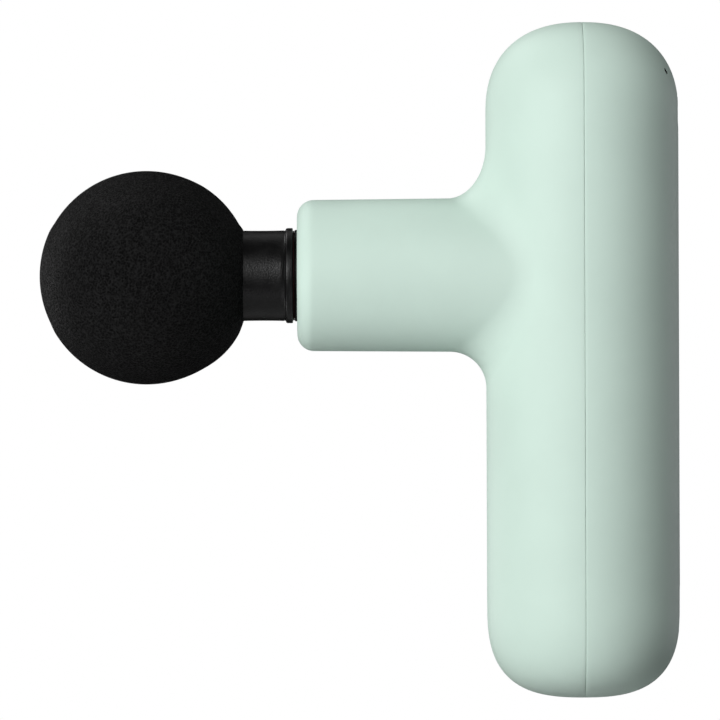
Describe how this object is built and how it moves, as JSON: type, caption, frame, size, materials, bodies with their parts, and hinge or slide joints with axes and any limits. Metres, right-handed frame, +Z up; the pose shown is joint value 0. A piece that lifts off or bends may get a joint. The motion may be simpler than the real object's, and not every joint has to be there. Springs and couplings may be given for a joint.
{
  "type": "massage gun",
  "caption": "Handheld percussion massage gun: capsule handle, short round nose, reciprocating plunger and a push-in foam ball head.",
  "frame": {"origin": "where the handle's upright axis crosses the plunger's axis, which is where the crank turns", "axes": "+Z up the handle towards its lights, -X forward through the nose and the head, +Y to the object's own right hand side when its button faces the user"},
  "size_m": [0.1419, 0.0474, 0.1498],
  "materials": {
    "shell_mint": "fine matte moulded plastic, pale mint green",
    "black_plastic": "satin black plastic",
    "black_foam": "closed-cell foam with a fine matt skin",
    "rubber": "soft black silicone rubber",
    "nylon": "glass-filled nylon, dark grey",
    "steel": "machined steel",
    "bronze": "sintered bronze",
    "aluminium": "turned aluminium",
    "copper": "enamelled copper wire",
    "iron": "iron laminations and magnets",
    "nickel": "nickel-plated strip",
    "circuit_board": "green circuit board with soldered parts",
    "cell_sleeve": "shrink sleeve, blue",
    "smoked_lens": "smoked clear plastic",
    "lead_sleeve": "silicone wire sleeve, red",
    "red_silicone": "dark red silicone rubber"
  },
  "bodies": {
    "root": {"front_shell": "shell_mint", "rear_shell": "shell_mint", "push_switch": "black_plastic", "socket_tongue": "black_plastic", "battery_pad": "black_foam", "nose_seal": "rubber", "front_damper_ring": "rubber", "rear_damper_ring": "rubber", "drive_frame": "nylon", "battery_cradle": "nylon", "motor_bearing_lower": "steel", "motor_bearing_upper": "steel", "charging_socket": "steel", "motor_screw_1": "steel", "motor_screw_2": "steel", "motor_screw_3": "steel", "motor_screw_4": "steel", "frame_screw_1": "steel", "frame_screw_2": "steel", "frame_screw_3": "steel", "frame_screw_4": "steel", "board_screw_upper": "steel", "board_screw_lower": "steel", "front_bush": "bronze", "rear_bush": "bronze", "motor_plate": "aluminium", "stator_windings": "copper", "stator_core": "iron", "cell_tab_left": "nickel", "cell_tab_right": "nickel", "cell_link": "nickel", "main_board": "circuit_board", "control_board": "circuit_board", "battery_cell_left": "cell_sleeve", "battery_cell_right": "cell_sleeve", "light_guide": "smoked_lens", "motor_lead_1": "lead_sleeve", "motor_lead_2": "lead_sleeve", "motor_lead_3": "lead_sleeve", "control_ribbon": "lead_sleeve"},
    "drive": {"rotor_bell": "aluminium", "magnet_ring": "iron", "motor_shaft": "steel", "crank_disc": "steel", "crank_pin": "steel", "crank_bearing": "steel"},
    "plunger": {"plunger": "black_plastic", "plunger_screw": "steel", "yoke": "steel"},
    "head": {"head_connector": "black_plastic", "o_ring_inner": "rubber", "o_ring_outer": "rubber", "face_gasket": "red_silicone", "head_ball": "black_foam"},
    "button": {"power_button": "shell_mint", "switch_key": "black_plastic"}
  },
  "joints": [
    {"name": "plunger_stroke", "type": "slide", "parent": "root", "child": "plunger", "axis": [-1, 0, 0], "range_m": [0, 0.007]},
    {"name": "crank_spin", "type": "hinge", "parent": "root", "child": "drive", "pos_m": [0, 0, 0], "axis": [0, 0, 1], "continuous": true},
    {"name": "head_pull", "type": "slide", "parent": "plunger", "child": "head", "axis": [-1, 0, 0], "range_m": [0, 0.016]},
    {"name": "button_press", "type": "slide", "parent": "root", "child": "button", "axis": [-1, 0, 0], "range_m": [0, 0.0005], "stiffness_N_per_m": 800}
  ],
  "couplings": [
    {"joint": "crank_spin", "follows": "plunger_stroke", "rad_per_m": 448.8}
  ]
}
